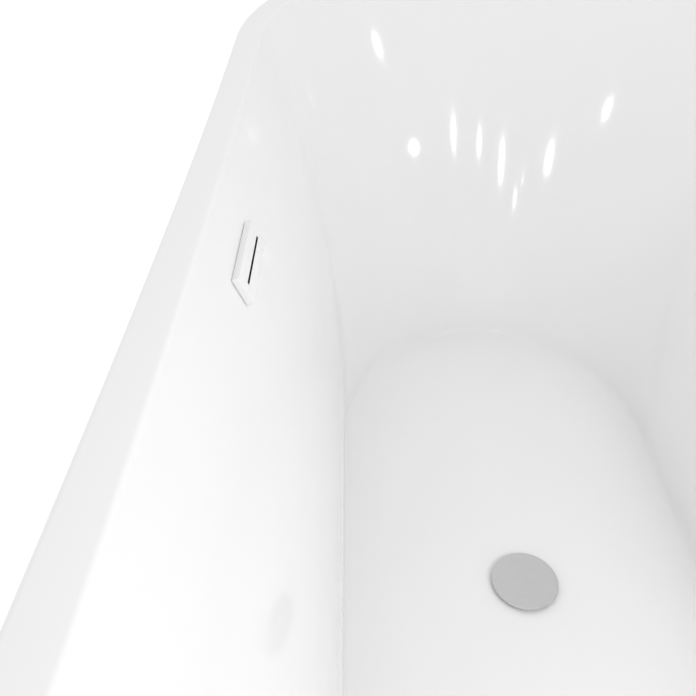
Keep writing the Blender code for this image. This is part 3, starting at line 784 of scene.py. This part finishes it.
def make_guide():
    low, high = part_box("stopper_guide")
    bore = STEM_R + GAP
    profile = [
        (THROAT_R, high.z),
        (THROAT_R, high.z - GUIDE_RIM),
        (GUIDE_TUBE_R + 0.001, high.z - GUIDE_RIM),
        (GUIDE_TUBE_R, high.z - GUIDE_RIM - 0.001),
        (GUIDE_TUBE_R, low.z),
        (bore, low.z),
        (bore, high.z),
    ]
    guide = turned("waste_guide", profile, WHITE_PLASTIC)
    for number in range(3):
        turn = math.radians(90 + 120 * number)
        x = GUIDE_PORT_AT * math.cos(turn)
        y = GUIDE_PORT_AT * math.sin(turn)
        port = rod_mesh(GUIDE_PORT_R, (x, y, high.z - CUT_PAST), (x, y, high.z + CUT_PAST), 48)
        cut(guide, port)
    smooth(guide)
    finish_piece(guide, "white_plastic", "stopper_guide")


# ---------------------------------------------------------------- overflow housing and hose


def smooth_route(points, per_span):
    """Points along a Catmull-Rom curve through the given ones."""
    padded = [2 * points[0] - points[1]] + points + [2 * points[-1] - points[-2]]
    route = []
    for a, b, c, d in zip(padded, padded[1:], padded[2:], padded[3:]):
        for step in range(per_span):
            t = step / per_span
            straight = 2 * b + (c - a) * t + (2 * a - 5 * b + 4 * c - d) * t ** 2
            route.append(0.5 * (straight + (3 * b - a - 3 * c + d) * t ** 3))
    route.append(points[-1])
    return route


def hose_ends():
    """Where the hose leaves the overflow, which way it points there, and where it meets the waste."""
    top = OVERFLOW @ Vector((SPIGOT_X, 0, SPIGOT_END - 2 * GAP))
    down = OVERFLOW.to_3x3() @ Vector((0, 0, -1))
    end = Vector((-INLET_END - GAP, 0, HOSE_Z))
    return top, down, end


def hose_route():
    top, down, end = hose_ends()
    points = [top, top + down * 0.012, top + down * 0.024, top + down * 0.040]
    points += [
        Vector((x, 0, z))
        for x, z in (
            (-0.274, 0.430),
            (-0.254, 0.360),
            (-0.245, 0.280),
            (-0.241, 0.200),
            (-0.238, 0.140),
            (-0.225, 0.096),
            (-0.190, 0.071),
            (-0.150, HOSE_Z),
        )
    ]
    points += [end - Vector((0.030, 0, 0)), end - Vector((0.015, 0, 0)), end]
    return smooth_route(points, 24)


def make_hose():
    """A corrugated hose: rings along the route whose radius ripples, smooth at both cuffs."""
    route = hose_route()
    rings = []
    travelled = 0.0
    total = sum((b - a).length for a, b in zip(route, route[1:]))
    for here, ahead in zip(route, route[1:]):
        along = ahead - here
        steps = max(1, round(along.length / (RIB_PITCH / RIB_STEPS)))
        forward = along.normalized()
        across = Vector((0, 1, 0))
        outward = forward.cross(across)
        for step in range(steps):
            place = here + along * (step / steps)
            at = travelled + along.length * step / steps
            cuff = min(at, total - at) < HOSE_CUFF
            ripple = 0 if cuff else RIB_DEPTH * (1 - math.cos(2 * math.pi * at / RIB_PITCH)) / 2
            radius = HOSE_R - 0.0001 - ripple
            rings.append([
                place
                + across * (radius * math.cos(2 * math.pi * side / HOSE_SIDES))
                + outward * (radius * math.sin(2 * math.pi * side / HOSE_SIDES))
                for side in range(HOSE_SIDES)
            ])
        travelled += along.length
    hose = loft("corrugated_hose", rings, HOSE)
    close_ends(hose)
    smooth(hose, 60)
    finish_piece(hose, "hose", "overflow_hose")


def place_on_axis(piece, middle, forward):
    """Turns a piece built round +Z to point along forward, with its middle at a point."""
    turn = Vector((0, 0, 1)).rotation_difference(forward).to_matrix().to_4x4()
    piece.data.transform(Matrix.Translation(middle) @ turn)


def make_hose_nuts():
    half = 0.009
    top, down, end = hose_ends()
    for node, middle, forward in (
        ("hose_nut_top", top, down),
        ("hose_nut_bottom", end, Vector((1, 0, 0))),
    ):
        nut = ribbed_ring(node + "_ring", HOSE_NUT_R, HOSE_R + 0.0005, -half, half, GREY_PLASTIC, 16)
        place_on_axis(nut, middle, forward)
        finish_piece(nut, "grey_plastic", node)


def overflow_block(x_range, length, height):
    return (x_range[0], -length / 2, -height / 2), (x_range[1], length / 2, height / 2)


def make_overflow_housing():
    back = HOUSING_FRONT - HOUSING_DEPTH
    length = PORT_LENGTH + 0.020
    low, high = overflow_block((back, HOUSING_FRONT), length, HOUSING_HEIGHT)
    housing = bevelled("overflow_housing", low, high, GREY_PLASTIC, 0.0015)
    spigot = rod_mesh(HOSE_R, (SPIGOT_X, 0, SPIGOT_END), (SPIGOT_X, 0, -0.016), 48)
    cut(housing, spigot, operation="UNION")
    cavity = overflow_block((back + 0.0025, 0.01), PORT_LENGTH + 0.004, HOUSING_HEIGHT - 0.008)
    cut(housing, box_mesh(*cavity))
    bore = rod_mesh(HOSE_BORE_R, (SPIGOT_X, 0, SPIGOT_END - CUT_PAST), (SPIGOT_X, 0, 0), 48)
    cut(housing, bore)
    housing.data.transform(OVERFLOW)
    smooth(housing)
    finish_piece(housing, "grey_plastic", "overflow_body")
    low, high = overflow_block((HOUSING_FRONT + GAP, -SHEET - 0.0010), length, HOUSING_HEIGHT)
    gasket = bevelled("overflow_seal", low, high, RUBBER, 0.0006, 2)
    window = overflow_block((-0.05, 0.02), PORT_LENGTH + 0.002, PORT_HEIGHT + 0.002)
    cut(gasket, box_mesh(*window))
    gasket.data.transform(OVERFLOW)
    smooth(gasket)
    finish_piece(gasket, "rubber", "overflow_gasket")


# ---------------------------------------------------------------- base, frame and feet


def make_board():
    """The bonded base board, its outline rounded like the bath floor and its edges eased."""
    edge = 0.0015

    def outline(inset, height):
        points = []
        for station in STATIONS:
            x, y = plan_point(
                station,
                FLOOR_HALF_WIDTH - BOARD_INSET - inset,
                FLOOR_HALF_LENGTH - BOARD_INSET - inset,
                FLOOR_END_DEPTH - BOARD_INSET - inset,
            )
            points.append(Vector((x, y, height)))
        return points

    low = BOARD_LOW.z
    high = BOARD_HIGH.z
    rings = [outline(edge, low), outline(0, low + edge), outline(0, high - edge), outline(edge, high)]
    piece = loft("bonded_board", rings, BOARD)
    close_ends(piece)
    cut(piece, rod_mesh(BOARD_HOLE_R, (0, 0, low - CUT_PAST), (0, 0, high + CUT_PAST), 96))
    smooth(piece)
    finish_piece(piece, "board", "base_board")


def square_loop(half, corner, steps=4):
    """Corners of a rounded square round the origin."""
    points = []
    for quarter in range(4):
        centre = math.radians(45 + 90 * quarter)
        reach = (half - corner) * math.sqrt(2)
        for step in range(steps + 1):
            angle = math.radians(90 * quarter + 90 * step / steps)
            points.append((
                reach * math.cos(centre) + corner * math.cos(angle),
                reach * math.sin(centre) + corner * math.sin(angle),
            ))
    return points


def square_tube(name, node):
    """A rolled square tube with rounded corners, open at both ends, where its CAD node is."""
    low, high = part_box(node)
    size = high - low
    along = max(range(3), key=lambda axis: size[axis])
    across = [axis for axis in range(3) if axis != along]
    middle = (low + high) / 2
    half = size[across[1]] / 2

    def ring(loop, end):
        points = []
        for a, b in loop:
            place = middle.copy()
            place[along] = end
            place[across[0]] += a
            place[across[1]] += b
            points.append(place)
        return points

    outer = square_loop(half, TUBE_ROUND)
    inner = square_loop(half - TUBE_WALL, TUBE_ROUND - TUBE_WALL)
    start = low[along]
    end = high[along]
    rings = [ring(inner, start), ring(outer, start), ring(outer, end), ring(inner, end), ring(inner, start)]
    tube = loft(name, rings, POWDER)
    cage = bmesh.new()
    cage.from_mesh(tube.data)
    bmesh.ops.remove_doubles(cage, verts=cage.verts, dist=0.000001)
    bmesh.ops.recalc_face_normals(cage, faces=cage.faces)
    cage.to_mesh(tube.data)
    cage.free()
    return tube


def make_frame():
    for side in ("left", "right"):
        rail = square_tube("frame_rail_" + side, "rail_" + side)
        smooth(rail)
        finish_piece(rail, "black_steel", "rail_" + side)
    for end in ("near", "far"):
        node = "cross_" + end
        low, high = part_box(node)
        y = (low.y + high.y) / 2
        tube = square_tube("frame_cross_" + end, node)
        holes = ((FOOT_X, STUD_HOLE_R, low.z), (SCREW_X, SCREW_HOLE_R, high.z))
        for sign in (-1, 1):
            for x, radius, bottom in holes:
                start = (sign * x, y, bottom - CUT_PAST)
                stop = (sign * x, y, high.z + CUT_PAST)
                cut(tube, rod_mesh(radius, start, stop, 32))
        smooth(tube)
        finish_piece(tube, "black_steel", node)


def make_pad(node):
    """A rubber foot with a dished side and a grip groove under its rim."""
    low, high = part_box(node)
    radius = (high.x - low.x) / 2
    middle = (low + high) / 2
    top = high.z
    profile = [
        (0.0, top),
        (0.0084, top),
        (0.0090, top - 0.0006),
        (0.0098, top - 0.0036),
        (0.0118, top - 0.0064),
        (0.0150, top - 0.0086),
        (radius - 0.0008, top - 0.0102),
        (radius, top - 0.0112),
        (radius, 0.0026),
        (radius - 0.0006, 0.0022),
        (radius - 0.0006, 0.0014),
        (radius, 0.0010),
        (radius, 0.0006),
        (radius - 0.0006, 0.0),
        (0.0, 0.0),
    ]
    pad = turned(node + "_rubber", profile, RUBBER, (middle.x, middle.y, 0), 64, ring=False)
    finish_piece(pad, "foot_rubber", node)


def make_stud(node):
    """A threaded stud with chamfered ends."""
    low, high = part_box(node)
    middle = (low + high) / 2
    start = low.z + 0.0010
    turns = int((high.z - 0.0010 - start) / THREAD_PITCH)
    profile = [(0.0, high.z), (STUD_R - 0.0010, high.z)]
    for number in range(turns):
        crest = high.z - 0.0010 - number * THREAD_PITCH
        profile.append((STUD_R, crest - 0.1 * THREAD_PITCH))
        profile.append((STUD_R, crest - 0.3 * THREAD_PITCH))
        profile.append((STUD_R - THREAD_DEPTH, crest - 0.7 * THREAD_PITCH))
    profile += [(STUD_R - 0.0010, low.z), (0.0, low.z)]
    stud = turned(node + "_thread", profile, ZINC, (middle.x, middle.y, 0), 40, ring=False)
    finish_piece(stud, "zinc_steel", node)


def make_hex_nut(node):
    """A chamfered hexagon nut."""
    low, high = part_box(node)
    middle = (low + high) / 2
    chamfer = 0.0009
    profile = [
        (NUT_R - chamfer, high.z),
        (NUT_R, high.z - chamfer * 0.6),
        (NUT_R, low.z + chamfer * 0.6),
        (NUT_R - chamfer, low.z),
        (STUD_HOLE_R + 0.0005, low.z),
        (STUD_HOLE_R, low.z + 0.0005),
        (STUD_HOLE_R, high.z - 0.0005),
        (STUD_HOLE_R + 0.0005, high.z),
    ]
    place = (middle.x, middle.y, 0)
    nut = turned(node + "_hex", profile, ZINC, place, 48)
    hexagon = rod_mesh(NUT_R, (*place[:2], low.z - 0.001), (*place[:2], high.z + 0.001), 6)
    cut(nut, hexagon, operation="INTERSECT")
    smooth(nut, 25)
    finish_piece(nut, "zinc_steel", node)


def make_feet():
    for end in ("near", "far"):
        for side in ("left", "right"):
            foot = "foot_" + end + "_" + side
            make_pad(foot + "_pad")
            make_stud(foot + "_stud")
            make_hex_nut(foot + "_lock_nut")
            make_hex_nut(foot + "_top_nut")


def dress_brackets():
    """The bent brackets and their screws keep their CAD shapes."""
    for name, node in frame["nodes"].items():
        if name.startswith(("skirt_bracket", "bracket_screw")):
            node.data.materials.clear()
            node.data.materials.append(ZINC)


# ---------------------------------------------------------------- set, light and camera

FLOOR_HALF_SIZE = 12.0
FLOOR_GLOW = 0.36           # the floor's own light, so that it stays white behind the bath

CAMERA_PLACE = Vector((-0.2045, -0.5437, FLOOR_Z + 0.7772))
CAMERA_PITCH = 37.02        # degrees below the horizon
CAMERA_YAW = 0.1
CAMERA_ROLL = -0.17
CAMERA_LENS = 39.6
CAMERA_SHIFT = (-0.0014, -0.0188)

# Where the lamps show as reflections on the far end's wall: distance across, height above the bath's
# floor, lamp's diameter, lamp's brightness.
HIGHLIGHTS = [
    (-0.162, 0.428, 0.14, 45),
    (-0.037, 0.293, 0.15, 45),
    (0.005, 0.279, 0.12, 45),
    (0.041, 0.244, 0.14, 45),
    (0.041, 0.265, 0.13, 45),
    (0.111, 0.269, 0.20, 45),
    (0.063, 0.205, 0.09, 45),
    (0.183, 0.354, 0.15, 45),
    (0.074, 0.233, 0.05, 30),
]
LAMP_REACH = 3.0            # from the wall to a lamp
LAMP_TARGET = (0.0, 0.55, 0.40)
CLOSE_HIGHLIGHT = (-0.102, 0.283)
CLOSE_REACH = 0.4           # the rim would hide a distant lamp here
CLOSE_SIZE = (0.0045, 0.022)
CLOSE_SPREAD = 24           # degrees
CLOSE_POWER = 0.003
SOLVE_ROUNDS = 8            # repeats that settle a place on the wall
WALL_STEP = 0.002           # for the wall's slope, as a share of the height and in radians round the end

WORLD_STRENGTH = 0.871
FILL_PLACE = (0.30, -0.60, 0.85)
FILL_TARGET = (0, 0, 0.3)
FILL_SIZE = 0.20
FILL_POWER = 1.58


def make_floor():
    mesh = bpy.data.meshes.new("floor")
    size = FLOOR_HALF_SIZE
    corners = [(-size, -size, 0), (size, -size, 0), (size, size, 0), (-size, size, 0)]
    mesh.from_pydata(corners, [], [(0, 1, 2, 3)])
    floor = link_object("studio_floor", mesh)
    material, _, _, shader = new_material("pale_floor")
    shader.inputs["Base Color"].default_value = (0.9, 0.9, 0.9, 1)
    shader.inputs["Roughness"].default_value = 0.9
    shader.inputs["Emission Color"].default_value = (1, 1, 1, 1)
    shader.inputs["Emission Strength"].default_value = FLOOR_GLOW
    mesh.materials.append(material)


def round_light(name, place, target, diameter, power):
    """A round soft light that shines from place towards target."""
    light = bpy.data.lights.new(name, "AREA")
    light.shape = "DISK"
    light.size = diameter
    light.energy = power
    lamp = bpy.data.objects.new(name, light)
    bpy.context.scene.collection.objects.link(lamp)
    lamp.location = place
    lamp.rotation_euler = (Vector(target) - Vector(place)).to_track_quat("-Z", "Y").to_euler()
    return lamp


def far_wall(turn, share):
    """A place on the far end's wall; turn is the angle round the end, from the right."""
    return wall_point((math.cos(turn), 1, math.sin(turn)), share)


def far_wall_place(across, height):
    """The turn and the share of the far wall's place at a distance across and a height."""
    share = height / BASIN_DEPTH
    for _ in range(SOLVE_ROUNDS):
        half_width = mix(FLOOR_HALF_WIDTH, HALF_WIDTH - DECK, share ** SIDE_FLARE)
        turn = math.acos(across / half_width)
        share = height / rim_height(far_wall(turn, share).y)
    return turn, share


def mirrored(across, height, reach):
    """Where a lamp must be for the camera to see it mirrored at a place on the far wall, and that place."""
    turn, share = far_wall_place(across, height)
    place = far_wall(turn, share)
    along = far_wall(turn + WALL_STEP, share) - far_wall(turn - WALL_STEP, share)
    upward = far_wall(turn, share + WALL_STEP) - far_wall(turn, share - WALL_STEP)
    normal = along.cross(upward).normalized()
    sight = (place - CAMERA_PLACE).normalized()
    return place + sight.reflect(normal) * reach, place


def reflection_lamp(name, place, target, diameter, power):
    """A lamp that lights no surface and shows only as a reflection."""
    lamp = round_light(name, place, target, diameter, power)
    lamp.visible_diffuse = False
    lamp.visible_camera = False
    return lamp


def make_lights():
    """An even white room, small lamps that only show as reflections, and a soft fill over the near end."""
    world = bpy.data.worlds.new("studio")
    bpy.context.scene.world = world
    world.use_nodes = True
    background = world.node_tree.nodes["Background"]
    background.inputs["Color"].default_value = (1, 1, 1, 1)
    background.inputs["Strength"].default_value = WORLD_STRENGTH
    for number, (across, height, diameter, brightness) in enumerate(HIGHLIGHTS):
        place, _ = mirrored(across, height, LAMP_REACH)
        power = brightness * math.pi * math.pi * (diameter / 2) ** 2
        reflection_lamp("lamp_" + str(number + 1), place, LAMP_TARGET, diameter, power)
    place, target = mirrored(*CLOSE_HIGHLIGHT, CLOSE_REACH)
    close = reflection_lamp("close_lamp", place, target, CLOSE_SIZE[0], CLOSE_POWER)
    close.data.shape = "ELLIPSE"
    close.data.size_y = CLOSE_SIZE[1]
    close.data.spread = math.radians(CLOSE_SPREAD)
    fill = round_light("fill", FILL_PLACE, FILL_TARGET, FILL_SIZE, FILL_POWER)
    fill.visible_glossy = False
    fill.visible_camera = False


def make_camera():
    data = bpy.data.cameras.new("camera")
    data.sensor_width = 36.0
    data.lens = CAMERA_LENS
    data.shift_x, data.shift_y = CAMERA_SHIFT
    camera = bpy.data.objects.new("camera", data)
    bpy.context.scene.collection.objects.link(camera)
    camera.matrix_world = (
        Matrix.Translation(CAMERA_PLACE)
        @ Matrix.Rotation(math.radians(CAMERA_YAW), 4, "Z")
        @ Matrix.Rotation(math.radians(90 - CAMERA_PITCH), 4, "X")
        @ Matrix.Rotation(math.radians(CAMERA_ROLL), 4, "Z")
    )
    bpy.context.scene.camera = camera


# ---------------------------------------------------------------- the whole scene

make_camera()
make_basin()
make_skin()
make_overflow_cover()
make_overflow_housing()
make_hose()
make_hose_nuts()
make_stopper_cap()
make_stopper_stem()
make_guide()
make_flange()
make_seals()
make_waste_body()
make_tail()
make_board()
make_frame()
make_feet()
dress_brackets()
make_floor()
make_lights()
bpy.context.scene.view_settings.view_transform = "Standard"
